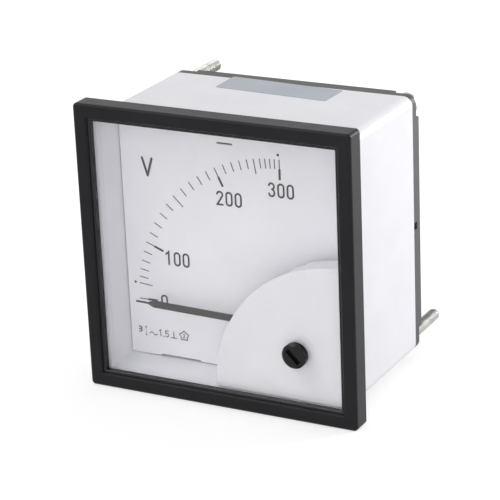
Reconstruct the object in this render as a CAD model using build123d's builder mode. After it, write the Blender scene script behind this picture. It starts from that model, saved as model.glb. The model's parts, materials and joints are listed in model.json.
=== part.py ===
"""Square moving-iron panel voltmeter with a 90 degree scale.

Sizes are in millimetres. The front face of the panel is the plane y = 0, the dial
faces -Y and +Z is up, so depths along y grow from the window towards the terminals.
"""
import os
from math import atan2, cos, degrees, hypot, radians, sin

from build123d import *

# Case and front frame
CASE_SIZE = 65.4
CASE_LENGTH = 36.4
CASE_WALL = 1.5
CASE_CORNER = 2.3
CASE_DRAFT = 0.9
MOUTH_RIM = 0.25
BEZEL_OVERHANG = 3.3
BEZEL_DEPTH = 5.2
BEZEL_RAIL = 3.5
BEZEL_CORNER = 1.0
BEZEL_EDGE = 0.8
LIP_DEPTH = 2.2
GLASS_THICKNESS = 1.6
FLANGE_REACH = 0.6
FLANGE_THICKNESS = 0.8
LUG_WIDTH = 12.0
LUG_DEPTH = 0.45

# Corner posts, studs and cover
POST_SIZE = 5.3
STUD_INSET = 2.8
STUD_RADIUS = 1.5
STUD_LENGTH = 16.0
STUD_CORE = 1.25
STUD_GRIP = 10.0
COVER_RIM = 2.2
COVER_STEP = 1.4
COVER_WALL = 1.8
SPIGOT_DEPTH = 3.0
SPIGOT_WALL = 1.2
PRY_SIZE = 1.8
PRY_DEPTH = 1.4
SCREW_HEAD_RADIUS = 2.75
SCREW_HEAD_HEIGHT = 1.9
SCREW_DOME = 0.6

# Dial and mask
DIAL_GAP = 9.1
DIAL_SLACK = 0.25
DIAL_THICKNESS = 0.4
TONGUE_LENGTH = 3.2
TOP_TONGUE_WIDTH = 4.1
TOP_TONGUE_X = -2.4
TOP_TONGUE_DROP = 6.65
LOW_TONGUE_WIDTH = 11.0
LOW_TONGUE_X = -17.2
LOW_TONGUE_RISE = 1.9
TONGUE_SLOT = 0.45
SPINDLE_HOLE = 3.2
BRIDGE_HOLE_MARGIN = 0.7
MASK_RADIUS = 33.5
MASK_THICKNESS = 1.0
MASK_WALL = 1.1
SKIRT_DEPTH = 4.7
SKIRT_STEP = 3.0
SKIRT_ANGLE = 19.1
SKIRT_STEP_ANGLE = 4.9
MASK_WALL_LENGTH = 24.0

# Spindle, pointer and bearings
SPINDLE_FROM_RIGHT = 20.8
SPINDLE_FROM_BOTTOM = 16.6
SPINDLE_RADIUS = 0.5
PIVOT_CONE = 0.5
PIVOT_TIP = 0.08
PIVOT_END_PLAY = 0.15
POINTER_OFF_DIAL = 4.45
POINTER_THICKNESS = 0.3
POINTER_WIDTH = 1.75
POINTER_OFF_WALL = 4.9
POINTER_REST_ANGLE = -1.1
NEEDLE_LENGTH = 4.9
NEEDLE_WIDTH = 0.38
SHOULDER_LENGTH = 1.6
HUB_RADIUS = 1.6
HUB_LENGTH = 0.75
TAIL_ANGLE = 35.0
TAIL_LENGTH = 7.0
TAIL_WIDTH = 1.0
WEIGHT_RADIUS_AT = 5.4
WEIGHT_LENGTH = 1.8
WEIGHT_WIDTH = 2.0
WEIGHT_HEIGHT = 0.9
WEIGHT_CORNER = 0.25
BRIDGE_ANGLE = 30.0
BRIDGE_WIDTH = 5.0
BRIDGE_THICKNESS = 0.8
BRIDGE_REACH = 9.2
BRIDGE_OFF_MASK = 0.7
BEARING_RADIUS = 1.1
BEARING_FLANGE = 1.5
BEARING_FLANGE_THICKNESS = 0.17
BEARING_NUT = 2.0
BEARING_NUT_HEIGHT = 0.5
REAR_BEARING_LENGTH = 1.4
REAR_NUT = 2.5
REAR_NUT_HEIGHT = 1.0

# Zero adjuster, its lever and the hairspring
ADJUSTER_FROM_RIGHT = 12.9
ADJUSTER_FROM_BOTTOM = 12.9
ADJUSTER_RADIUS = 3.1
ADJUSTER_SHANK = 2.0
ADJUSTER_RECESS = 0.3
ADJUSTER_HEAD = 1.0
ADJUSTER_GROOVE = 0.3
ADJUSTER_GROOVE_DEPTH = 0.25
ADJUSTER_BEVEL = 0.45
ADJUSTER_SLOT_WIDTH = 1.2
ADJUSTER_SLOT_LENGTH = 4.2
ADJUSTER_SLOT_DEPTH = 0.9
ADJUSTER_SLOT_ANGLE = -45.0
BARB_REACH = 0.3
BARB_LENGTH = 0.5
ADJUSTER_TURN = 45.0
ECCENTRICITY = 1.2
PIN_RADIUS = 0.5
LEVER_THICKNESS = 0.4
LEVER_RING = 2.4
LEVER_WIDTH = 2.7
LEVER_TIP = 2.0
STUD_ARM_ANGLE = 200.0
STUD_ARM_WIDTH = 1.4
SPRING_INNER = 0.95
SPRING_OUTER = 4.0
SPRING_TURNS = 3
SPRING_STRIP = 0.16
SPRING_HEIGHT = 0.3

# Movement behind the dial
FRAME_OFF_DIAL = 1.2
LID_THICKNESS = 0.6
CHAMBER_DEPTH = 2.9
CHAMBER_FLOOR = 1.0
CHAMBER_WALL = 1.0
CHAMBER_START_ANGLE = 196.0
CHAMBER_SPAN_ANGLE = 118.0
CHAMBER_INNER = 4.5
VANE_ANGLE = 298.9
VANE_THICKNESS = 0.3
VANE_CLEAR = 0.4
LEG_RADIUS = 2.4
LEG_ANGLE = 165.0
FOOT_DROP = 1.9
BOBBIN_LENGTH = 15.7
BOBBIN_FLANGE = 14.0
BOBBIN_FLANGE_THICKNESS = 1.2
BOBBIN_BORE = 6.5
BOBBIN_WALL = 1.0
WINDING_MARGIN = 1.0
IRON_THICKNESS = 0.7
IRON_MARGIN = 2.2
FIXED_IRON_START_ANGLE = -39.0
FIXED_IRON_SPAN_ANGLE = 100.0
MOVING_IRON_GAP = 0.7
MOVING_IRON_THICKNESS = 0.4
MOVING_IRON_ANGLE = 10.2
MOVING_IRON_SPAN_ANGLE = 50.0
MOVING_IRON_LENGTH = 6.31
IRON_HUB = 1.5
BASE_THICKNESS = 2.0
PILLAR_RADIUS = 3.2
PILLAR_INSET = 4.0
PILLAR_OFF_WALL = 1.5
PILLAR_PAST_SPINDLE = 21.0
PILLAR_OVER_SPINDLE = 20.0
SMALL_SCREW = 0.8
SMALL_SCREW_HEAD = 1.9
SMALL_SCREW_HEAD_HEIGHT = 1.2
SMALL_SCREW_GRIP = 4.5

# Terminals, resistor and wires
TERMINAL_PITCH = 28.0
TERMINAL_OFF_BASE = 4.1
TERMINAL_RADIUS = 2.0
TERMINAL_LENGTH = 13.0
TERMINAL_RELIEF = 0.2
RELIEF_LENGTH = 0.7
TERMINAL_BOSS = 5.5
TERMINAL_BOSS_HEIGHT = 1.0
HEX_ACROSS = 7.0
HEX_HEAD_HEIGHT = 2.8
NUT_HEIGHT = 3.2
NUT_BEVEL = 0.35
WASHER_RADIUS = 4.5
WASHER_THICKNESS = 0.8
TAG_RADIUS = 4.0
TAG_WIDTH = 3.0
TAG_THICKNESS = 0.8
RESISTOR_RADIUS = 3.5
RESISTOR_LENGTH = 24.0
RESISTOR_EDGE = 0.5
RESISTOR_OFF_COVER = 11.2
SADDLE_PITCH = 16.0
SADDLE_THICKNESS = 3.0
SADDLE_WALL = 1.2
WIRE_RADIUS = 0.4
WIRE_OUT = 5.0
WIRE_BEND = 2.0

# Clearances
SEAT = 0.05
SLIP = 0.1
LOOSE = 0.2

# Stations along the depth
PANEL = 0.0
FRONT = PANEL - BEZEL_DEPTH
GLASS_FRONT = FRONT + LIP_DEPTH
GLASS_BACK = GLASS_FRONT + GLASS_THICKNESS
FLANGE_BACK = GLASS_BACK + FLANGE_THICKNESS
MASK_FRONT = GLASS_BACK + SLIP
MASK_BACK = MASK_FRONT + MASK_THICKNESS
BARB_FRONT = GLASS_BACK + SEAT
BARB_BACK = BARB_FRONT + BARB_LENGTH
DIAL_FRONT = GLASS_BACK + DIAL_GAP
DIAL_BACK = DIAL_FRONT + DIAL_THICKNESS
CASE_END = PANEL + CASE_LENGTH
RIM_BACK = CASE_END + COVER_RIM
COVER_BACK = RIM_BACK + COVER_STEP
COVER_INSIDE = COVER_BACK - COVER_WALL
POINTER_BACK = DIAL_FRONT - POINTER_OFF_DIAL
POINTER_FRONT = POINTER_BACK - POINTER_THICKNESS
BRIDGE_FRONT = MASK_BACK + BRIDGE_OFF_MASK
BRIDGE_BACK = BRIDGE_FRONT + BRIDGE_THICKNESS
LEVER_FRONT = BRIDGE_BACK + SEAT
LEVER_BACK = LEVER_FRONT + LEVER_THICKNESS
BEARING_BACK = LEVER_BACK + SEAT + BEARING_FLANGE_THICKNESS
SPRING_FRONT = BEARING_BACK + LOOSE
SPRING_BACK = SPRING_FRONT + SPRING_HEIGHT
FRAME_FRONT = DIAL_BACK + FRAME_OFF_DIAL
CHAMBER_FRONT = FRAME_FRONT + LID_THICKNESS
FLOOR_FRONT = CHAMBER_FRONT + CHAMBER_DEPTH
BOBBIN_FRONT = FLOOR_FRONT + CHAMBER_FLOOR
BOBBIN_BACK = BOBBIN_FRONT + BOBBIN_LENGTH
BASE_BACK = BOBBIN_BACK + BASE_THICKNESS
FOOT_BACK = FLOOR_FRONT - FOOT_DROP
FOOT_FRONT = FOOT_BACK - BRIDGE_THICKNESS
REAR_BEARING_FRONT = BOBBIN_BACK - REAR_BEARING_LENGTH

# Sizes and places worked out from the values above
BEZEL_SIZE = CASE_SIZE + 2 * BEZEL_OVERHANG
WINDOW_SIZE = BEZEL_SIZE - 2 * BEZEL_RAIL
FLANGE_SIZE = CASE_SIZE + 2 * FLANGE_REACH
POCKET_SIZE = FLANGE_SIZE + 2 * SEAT
CAVITY_SIZE = CASE_SIZE - 2 * CASE_WALL
SPIGOT_SIZE = CAVITY_SIZE - 2 * SLIP
DIAL_SIZE = CAVITY_SIZE - 2 * DIAL_SLACK
RECESS_SIZE = CAVITY_SIZE + 2 * CASE_DRAFT
MOUTH_SIZE = FLANGE_SIZE - 2 * MOUTH_RIM
RECESS = [(DIAL_FRONT, CAVITY_SIZE), (FLANGE_BACK, RECESS_SIZE), (GLASS_BACK, MOUTH_SIZE)]
CASE_HALF = CASE_SIZE / 2
CAVITY_HALF = CAVITY_SIZE / 2
STUD_AT = CASE_HALF - STUD_INSET
COVER_NOTCH = STUD_INSET + SCREW_HEAD_RADIUS + LOOSE
POST_AT = CAVITY_HALF + CASE_WALL / 2 - POST_SIZE / 2
SPINDLE = (CASE_HALF - SPINDLE_FROM_RIGHT, SPINDLE_FROM_BOTTOM - CASE_HALF)
ADJUSTER = (CASE_HALF - ADJUSTER_FROM_RIGHT, ADJUSTER_FROM_BOTTOM - CASE_HALF)
SPINDLE_AXIS = Axis((SPINDLE[0], 0, SPINDLE[1]), (0, 1, 0))
ADJUSTER_AXIS = Axis((ADJUSTER[0], 0, ADJUSTER[1]), (0, 1, 0))
ADJUSTER_REACH = hypot(ADJUSTER[0] - SPINDLE[0], ADJUSTER[1] - SPINDLE[1])
ADJUSTER_ANGLE = degrees(atan2(ADJUSTER[1] - SPINDLE[1], ADJUSTER[0] - SPINDLE[0]))
LEG_REACH = BOBBIN_FLANGE + LOOSE + LEG_RADIUS
PILLAR_RIGHT = SPIGOT_SIZE / 2 - SPIGOT_WALL - PILLAR_OFF_WALL - PILLAR_RADIUS
PILLAR_LOW = -PILLAR_RIGHT
PILLAR_LEFT = SPINDLE[0] - PILLAR_PAST_SPINDLE
PILLAR_TOP = SPINDLE[1] + PILLAR_OVER_SPINDLE
BASE_TOP = PILLAR_TOP + PILLAR_INSET
TERMINAL_Z = BASE_TOP + TERMINAL_OFF_BASE
TERMINALS = [(-TERMINAL_PITCH / 2, TERMINAL_Z), (TERMINAL_PITCH / 2, TERMINAL_Z)]
STUD_CORNERS = [(-STUD_AT, STUD_AT), (STUD_AT, -STUD_AT)]
SCREW_CORNERS = [(STUD_AT, STUD_AT), (-STUD_AT, -STUD_AT)]
PILLARS = [(PILLAR_LEFT, PILLAR_LOW), (PILLAR_LEFT, PILLAR_TOP), (PILLAR_RIGHT, PILLAR_TOP)]
RESISTOR_Y = COVER_INSIDE - RESISTOR_OFF_COVER
RESISTOR_Z = (BASE_TOP + CAVITY_HALF) / 2


def face_at(depth):
    """Plane across the meter at a depth; a positive extrusion from it comes forward."""
    return Plane.XZ.offset(-depth)


def depth_plane(place):
    """Plane through a place on the dial, with local x across and local y along the depth."""
    return Plane(origin=(place[0], 0, place[1]), x_dir=(1, 0, 0), z_dir=(0, 0, 1))


def from_spindle(radius, angle):
    """Point on the dial at a radius and an angle from the spindle."""
    turn = radians(angle)
    return (SPINDLE[0] + radius * cos(turn), SPINDLE[1] + radius * sin(turn))


def pointer_plane(depth):
    """Plane across the meter about the spindle, turned with the pointer at rest."""
    turn = radians(POINTER_REST_ANGLE)
    return Plane((SPINDLE[0], depth, SPINDLE[1]), x_dir=(cos(turn), 0, sin(turn)), z_dir=(0, -1, 0))


def part_ring(inner, outer, start, span, centre=SPINDLE):
    """Part of a ring, about the spindle if no centre is given, added to the sketch in hand."""
    with BuildLine() as outline:
        rim = CenterArc(centre, outer, start, span)
        root = CenterArc(centre, inner, start, span)
        Line(rim @ 0, root @ 0)
        Line(rim @ 1, root @ 1)
    make_face(outline.edges())


def spoke(inner, outer, angle):
    """Location at the middle of a radial strip, turned so that its length runs outward."""
    return Location((*from_spindle((inner + outer) / 2, angle), 0), (0, 0, angle))


# Bezel: square frame, a rebate behind the lip for window and case flange, and snap lugs
with BuildPart() as bezel:
    with BuildSketch(face_at(PANEL)):
        RectangleRounded(BEZEL_SIZE, BEZEL_SIZE, BEZEL_CORNER)
        Rectangle(WINDOW_SIZE, WINDOW_SIZE, mode=Mode.SUBTRACT)
    extrude(amount=BEZEL_DEPTH)
    fillet(bezel.faces().sort_by(Axis.Y)[0].edges(), BEZEL_EDGE)
    with BuildSketch(face_at(PANEL)):
        Rectangle(POCKET_SIZE, POCKET_SIZE)
    extrude(amount=PANEL - GLASS_FRONT, mode=Mode.SUBTRACT)
    with BuildSketch(face_at(PANEL - SEAT)):
        with PolarLocations(POCKET_SIZE / 2, 4):
            Rectangle(2 * (FLANGE_REACH - SLIP), LUG_WIDTH)
    extrude(amount=LUG_DEPTH)

# Window pane, drilled for the adjuster
with BuildPart() as window_glass:
    with BuildSketch(face_at(GLASS_BACK)):
        Rectangle(FLANGE_SIZE, FLANGE_SIZE)
        with Locations(ADJUSTER):
            Circle(ADJUSTER_SHANK + SLIP, mode=Mode.SUBTRACT)
    extrude(amount=GLASS_THICKNESS)

# Case: square tube with a front flange, a drafted recess with a flared mouth and four tapped
# corner posts
with BuildPart() as case_body:
    with BuildSketch(face_at(CASE_END)):
        RectangleRounded(CASE_SIZE, CASE_SIZE, CASE_CORNER)
    extrude(amount=CASE_END - GLASS_BACK)
    with BuildSketch(face_at(FLANGE_BACK)):
        Rectangle(FLANGE_SIZE, FLANGE_SIZE)
    extrude(amount=FLANGE_THICKNESS)
    with BuildSketch(face_at(CASE_END)):
        Rectangle(CAVITY_SIZE, CAVITY_SIZE)
    extrude(amount=CASE_END - DIAL_FRONT, mode=Mode.SUBTRACT)
    for (depth, size), (front, mouth) in zip(RECESS[:-1], RECESS[1:]):
        with BuildSketch(face_at(depth)):
            Rectangle(size, size)
        with BuildSketch(face_at(front)):
            Rectangle(mouth, mouth)
        loft(mode=Mode.SUBTRACT)
    with BuildSketch(face_at(CASE_END)):
        with GridLocations(2 * POST_AT, 2 * POST_AT, 2, 2):
            Rectangle(POST_SIZE, POST_SIZE)
    extrude(amount=CASE_END - DIAL_BACK)
    with BuildSketch(face_at(CASE_END)):
        with GridLocations(2 * STUD_AT, 2 * STUD_AT, 2, 2):
            Circle(STUD_CORE)
    extrude(amount=STUD_GRIP + LOOSE, mode=Mode.SUBTRACT)

# Dial: thin sheet with holes for the spindle and the bridge, and two tongues bent back
with BuildPart() as dial_plate:
    top_slot = (TOP_TONGUE_X, CAVITY_HALF - TOP_TONGUE_DROP + CASE_WALL)
    low_slot = (LOW_TONGUE_X, LOW_TONGUE_RISE - CASE_HALF)
    with BuildSketch(face_at(DIAL_BACK)):
        Rectangle(DIAL_SIZE, DIAL_SIZE)
        with Locations(SPINDLE):
            Circle(SPINDLE_HOLE, mode=Mode.SUBTRACT)
        with Locations(spoke(BRIDGE_REACH, BRIDGE_REACH + BRIDGE_THICKNESS, BRIDGE_ANGLE)):
            Rectangle(
                BRIDGE_THICKNESS + 2 * BRIDGE_HOLE_MARGIN,
                BRIDGE_WIDTH + 2 * BRIDGE_HOLE_MARGIN,
                mode=Mode.SUBTRACT,
            )
        with Locations(top_slot):
            Rectangle(TOP_TONGUE_WIDTH, TONGUE_SLOT, mode=Mode.SUBTRACT)
        with Locations(low_slot):
            Rectangle(LOW_TONGUE_WIDTH, TONGUE_SLOT, mode=Mode.SUBTRACT)
    extrude(amount=DIAL_THICKNESS)
    tongue_shift = (TONGUE_SLOT + DIAL_THICKNESS) / 2
    with BuildSketch(face_at(DIAL_BACK + TONGUE_LENGTH)):
        with Locations((top_slot[0], top_slot[1] + tongue_shift)):
            Rectangle(TOP_TONGUE_WIDTH, DIAL_THICKNESS)
        with Locations((low_slot[0], low_slot[1] + tongue_shift)):
            Rectangle(LOW_TONGUE_WIDTH, DIAL_THICKNESS)
    extrude(amount=TONGUE_LENGTH + DIAL_THICKNESS / 2)

# Mask: quarter disc over the movement, with two walls down to the dial, a stepped skirt and a
# slot whose ends stop the adjuster's pin
with BuildPart() as movement_mask:
    corner = (CAVITY_HALF - SLIP, SLIP - CAVITY_HALF)
    plate_edge = RECESS_SIZE / 2 - LOOSE
    with BuildSketch(face_at(MASK_BACK)):
        with BuildLine():
            rim = CenterArc(corner, MASK_RADIUS, 90, 90)
            Polyline(
                rim @ 0,
                (plate_edge, (rim @ 0).Y),
                (plate_edge, -plate_edge),
                ((rim @ 1).X, -plate_edge),
                rim @ 1,
            )
        make_face()
    extrude(amount=MASK_THICKNESS)
    with BuildSketch(face_at(BARB_BACK + SLIP)):
        with Locations(ADJUSTER):
            Circle(ADJUSTER_SHANK + BARB_REACH + SLIP)
    extrude(amount=BARB_BACK + SLIP - MASK_FRONT, mode=Mode.SUBTRACT)
    with BuildSketch(face_at(MASK_BACK)):
        pin_room = PIN_RADIUS + SLIP
        slot_start = ADJUSTER_ANGLE - ADJUSTER_TURN
        slot_span = 2 * ADJUSTER_TURN
        part_ring(ECCENTRICITY - pin_room, ECCENTRICITY + pin_room, slot_start, slot_span, ADJUSTER)
        with Locations(ADJUSTER):
            with PolarLocations(ECCENTRICITY, 2, slot_start, slot_span, endpoint=True):
                Circle(pin_room)
    extrude(amount=MASK_THICKNESS, mode=Mode.SUBTRACT)
    for span, depth in ((SKIRT_ANGLE + SKIRT_STEP_ANGLE, SKIRT_STEP), (SKIRT_ANGLE, SKIRT_DEPTH)):
        with BuildSketch(face_at(MASK_BACK + depth)):
            with BuildLine():
                outside = CenterArc(corner, MASK_RADIUS, 90, span)
                inside = CenterArc(corner, MASK_RADIUS - MASK_WALL, 90, span)
                Line(outside @ 0, inside @ 0)
                Line(outside @ 1, inside @ 1)
            make_face()
        extrude(amount=depth)
    with BuildSketch(face_at(DIAL_FRONT)):
        with Locations(corner):
            Rectangle(MASK_WALL, MASK_WALL_LENGTH, align=(Align.MAX, Align.MIN))
            Rectangle(MASK_WALL_LENGTH, MASK_WALL, align=(Align.MAX, Align.MIN))
    extrude(amount=DIAL_FRONT - MASK_BACK)

# Zero adjuster: slotted head with a groove, a shank snapped through the window, an eccentric pin
with BuildPart() as zero_adjuster:
    head_front = FRONT + ADJUSTER_RECESS
    head_back = head_front + ADJUSTER_HEAD
    groove_back = head_back + ADJUSTER_GROOVE
    collar_back = GLASS_FRONT - SEAT
    groove_radius = ADJUSTER_RADIUS - ADJUSTER_GROOVE_DEPTH
    barb_radius = ADJUSTER_SHANK + BARB_REACH
    with BuildSketch(depth_plane(ADJUSTER)):
        with BuildLine():
            Polyline(
                (0, head_front),
                (ADJUSTER_RADIUS - ADJUSTER_BEVEL, head_front),
                (ADJUSTER_RADIUS, head_front + ADJUSTER_BEVEL),
                (ADJUSTER_RADIUS, head_back),
                (groove_radius, head_back),
                (groove_radius, groove_back),
                (ADJUSTER_RADIUS, groove_back),
                (ADJUSTER_RADIUS, collar_back),
                (ADJUSTER_SHANK, collar_back),
                (ADJUSTER_SHANK, BARB_FRONT),
                (barb_radius, BARB_FRONT),
                (ADJUSTER_SHANK, BARB_BACK),
                (0, BARB_BACK),
                close=True,
            )
        make_face()
    revolve(axis=ADJUSTER_AXIS)
    with BuildSketch(face_at(head_front + ADJUSTER_SLOT_DEPTH)):
        with Locations(Location((*ADJUSTER, 0), (0, 0, ADJUSTER_SLOT_ANGLE))):
            Rectangle(ADJUSTER_SLOT_LENGTH, ADJUSTER_SLOT_WIDTH)
    extrude(amount=ADJUSTER_SLOT_DEPTH, mode=Mode.SUBTRACT)
    with BuildSketch(face_at(LEVER_BACK + SLIP)):
        with Locations(from_spindle(ADJUSTER_REACH + ECCENTRICITY, ADJUSTER_ANGLE)):
            Circle(PIN_RADIUS)
    extrude(amount=LEVER_BACK + SLIP - BARB_BACK)

# Zero lever: ring on the front bearing, a fork for the eccentric pin and a hairspring stud
with BuildPart() as zero_lever:
    pin_at = ADJUSTER_REACH + ECCENTRICITY
    slot_root = pin_at - ECCENTRICITY / 2 - PIN_RADIUS
    with BuildSketch(face_at(LEVER_BACK)):
        with Locations(SPINDLE):
            Circle(LEVER_RING)
        with Locations(spoke(0, pin_at + LEVER_TIP, ADJUSTER_ANGLE)):
            Rectangle(pin_at + LEVER_TIP, LEVER_WIDTH)
        with Locations(spoke(0, SPRING_OUTER + STUD_ARM_WIDTH, STUD_ARM_ANGLE)):
            Rectangle(SPRING_OUTER + STUD_ARM_WIDTH, STUD_ARM_WIDTH)
        with Locations(spoke(slot_root, pin_at + 2 * LEVER_TIP, ADJUSTER_ANGLE)):
            Rectangle(
                pin_at + 2 * LEVER_TIP - slot_root,
                2 * (PIN_RADIUS + SLIP),
                mode=Mode.SUBTRACT,
            )
        with Locations(SPINDLE):
            Circle(BEARING_RADIUS + SLIP, mode=Mode.SUBTRACT)
    extrude(amount=LEVER_THICKNESS)
    with BuildSketch(face_at(SPRING_BACK)):
        stud_inner = SPRING_OUTER + SPRING_STRIP / 2
        stud_outer = SPRING_OUTER + STUD_ARM_WIDTH
        with Locations(spoke(stud_inner, stud_outer, STUD_ARM_ANGLE)):
            Rectangle(stud_outer - stud_inner, STUD_ARM_WIDTH / 2)
    extrude(amount=SPRING_BACK - LEVER_FRONT)

# Hairspring: flat strip wound in half turns from the hub to the lever's stud
with BuildPart() as hairspring:
    half_turns = 2 * SPRING_TURNS
    growth = (SPRING_OUTER - SPRING_INNER) / half_turns
    with BuildSketch(face_at(SPRING_BACK)):
        with BuildLine():
            for half in range(half_turns):
                start_angle = STUD_ARM_ANGLE + 180 * half
                start = Vector(*from_spindle(SPRING_INNER + growth * half, start_angle))
                end = Vector(*from_spindle(SPRING_INNER + growth * (half + 1), start_angle + 180))
                sweep_radius = (end - start).length / 2
                side = radians(start_angle + 90)
                middle = (start + end) / 2 + Vector(cos(side), sin(side)) * sweep_radius
                ThreePointArc(start, middle, end)
        trace(line_width=SPRING_STRIP)
    extrude(amount=SPRING_HEIGHT)

# Pointer hub: collet on the spindle that holds the pointer and the spring's inner end
with BuildPart() as pointer_hub:
    collet = SPRING_INNER - SPRING_STRIP / 2
    hub_back = POINTER_BACK + HUB_LENGTH
    with BuildSketch(depth_plane(SPINDLE)):
        with BuildLine():
            Polyline(
                (SPINDLE_RADIUS, SPRING_FRONT),
                (collet, SPRING_FRONT),
                (collet, POINTER_BACK),
                (HUB_RADIUS, POINTER_BACK),
                (HUB_RADIUS, hub_back),
                (SPINDLE_RADIUS, hub_back),
                close=True,
            )
        make_face()
    revolve(axis=SPINDLE_AXIS)

# Pointer: flat bar, tapered shoulder, thin needle and two tails for the weights
with BuildPart() as pointer:
    with BuildSketch(pointer_plane(POINTER_BACK)):
        Circle(HUB_RADIUS + SLIP)
        with BuildLine():
            tip = POINTER_OFF_WALL - CAVITY_HALF - SPINDLE[0]
            bar_end = tip + NEEDLE_LENGTH
            needle_start = bar_end - SHOULDER_LENGTH
            bar_half = POINTER_WIDTH / 2
            needle_half = NEEDLE_WIDTH / 2
            Polyline(
                (0, bar_half),
                (bar_end, bar_half),
                (needle_start, needle_half),
                (tip, needle_half),
                (tip, -needle_half),
                (needle_start, -needle_half),
                (bar_end, -bar_half),
                (0, -bar_half),
                close=True,
            )
        make_face()
        with PolarLocations(TAIL_LENGTH / 2, 2, -TAIL_ANGLE, 2 * TAIL_ANGLE, endpoint=True):
            Rectangle(TAIL_LENGTH, TAIL_WIDTH)
        Circle(SPRING_INNER - SPRING_STRIP / 2 + SEAT, mode=Mode.SUBTRACT)
    extrude(amount=POINTER_THICKNESS)

# Balance weights: two sleeves clamped on the pointer's tails
with BuildPart() as balance_weights:
    weight_middle = (POINTER_FRONT + POINTER_BACK) / 2
    with BuildSketch(pointer_plane(weight_middle + WEIGHT_HEIGHT / 2)):
        with PolarLocations(WEIGHT_RADIUS_AT, 2, -TAIL_ANGLE, 2 * TAIL_ANGLE, endpoint=True):
            RectangleRounded(WEIGHT_LENGTH, WEIGHT_WIDTH, WEIGHT_CORNER)
    extrude(amount=WEIGHT_HEIGHT)
    with BuildSketch(pointer_plane(POINTER_BACK + SEAT / 2)):
        with PolarLocations(TAIL_LENGTH / 2, 2, -TAIL_ANGLE, 2 * TAIL_ANGLE, endpoint=True):
            Rectangle(TAIL_LENGTH, TAIL_WIDTH + SEAT)
    extrude(amount=POINTER_THICKNESS + SEAT, mode=Mode.SUBTRACT)

# Spindle: plain shaft with a cone pivot at each end
with BuildPart() as spindle:
    front_tip = BEARING_BACK - PIVOT_CONE + SLIP
    rear_tip = REAR_BEARING_FRONT + PIVOT_CONE - SLIP
    with BuildSketch(depth_plane(SPINDLE)):
        with BuildLine():
            Polyline(
                (0, front_tip),
                (PIVOT_TIP, front_tip),
                (SPINDLE_RADIUS, front_tip + PIVOT_CONE),
                (SPINDLE_RADIUS, rear_tip - PIVOT_CONE),
                (PIVOT_TIP, rear_tip),
                (0, rear_tip),
                close=True,
            )
        make_face()
    revolve(axis=SPINDLE_AXIS)

# Front bearing: threaded jewel screw put in from behind, with a flange that keeps the lever on
with BuildPart() as front_bearing:
    nut_front = BRIDGE_FRONT - BEARING_NUT_HEIGHT
    cup_floor = front_tip - PIVOT_END_PLAY
    cup_radius = SPINDLE_RADIUS + SLIP
    with BuildSketch(depth_plane(SPINDLE)):
        with BuildLine():
            Polyline(
                (0, nut_front),
                (BEARING_RADIUS, nut_front),
                (BEARING_RADIUS, LEVER_BACK + SEAT),
                (BEARING_FLANGE, LEVER_BACK + SEAT),
                (BEARING_FLANGE, BEARING_BACK),
                (cup_radius, BEARING_BACK),
                (PIVOT_TIP + SLIP, cup_floor),
                (0, cup_floor),
                close=True,
            )
        make_face()
    revolve(axis=SPINDLE_AXIS)

with BuildPart() as bearing_nut:
    with BuildSketch(face_at(BRIDGE_FRONT)):
        with Locations(SPINDLE):
            RegularPolygon(BEARING_NUT, 6)
            Circle(BEARING_RADIUS, mode=Mode.SUBTRACT)
    extrude(amount=BEARING_NUT_HEIGHT)

# Front bridge: pressed bracket from the frame's leg, through the dial, to the front bearing
with BuildPart() as front_bridge:
    bend = BRIDGE_REACH + BRIDGE_THICKNESS
    foot_end = LEG_REACH + LEG_RADIUS
    with BuildSketch(face_at(BRIDGE_BACK)):
        with Locations(spoke(0, bend, BRIDGE_ANGLE)):
            Rectangle(bend, BRIDGE_WIDTH)
        with Locations(SPINDLE):
            Circle(BRIDGE_WIDTH / 2)
            Circle(BEARING_RADIUS, mode=Mode.SUBTRACT)
    extrude(amount=BRIDGE_THICKNESS)
    with BuildSketch(face_at(FOOT_BACK)):
        with Locations(spoke(BRIDGE_REACH, bend, BRIDGE_ANGLE)):
            Rectangle(BRIDGE_THICKNESS, BRIDGE_WIDTH)
    extrude(amount=FOOT_BACK - BRIDGE_FRONT)
    with BuildSketch(face_at(FOOT_BACK)):
        with Locations(spoke(BRIDGE_REACH, foot_end, BRIDGE_ANGLE)):
            Rectangle(foot_end - BRIDGE_REACH, BRIDGE_WIDTH)
        with Locations(from_spindle(LEG_REACH, BRIDGE_ANGLE)):
            Circle(SMALL_SCREW + SLIP, mode=Mode.SUBTRACT)
    extrude(amount=BRIDGE_THICKNESS)

with BuildPart() as bridge_screw:
    with BuildSketch(face_at(FOOT_FRONT)):
        with Locations(from_spindle(LEG_REACH, BRIDGE_ANGLE)):
            Circle(SMALL_SCREW_HEAD)
    extrude(amount=SMALL_SCREW_HEAD_HEIGHT)
    with BuildSketch(face_at(FOOT_BACK + SMALL_SCREW_GRIP)):
        with Locations(from_spindle(LEG_REACH, BRIDGE_ANGLE)):
            Circle(SMALL_SCREW)
    extrude(amount=SMALL_SCREW_GRIP + BRIDGE_THICKNESS)

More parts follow.
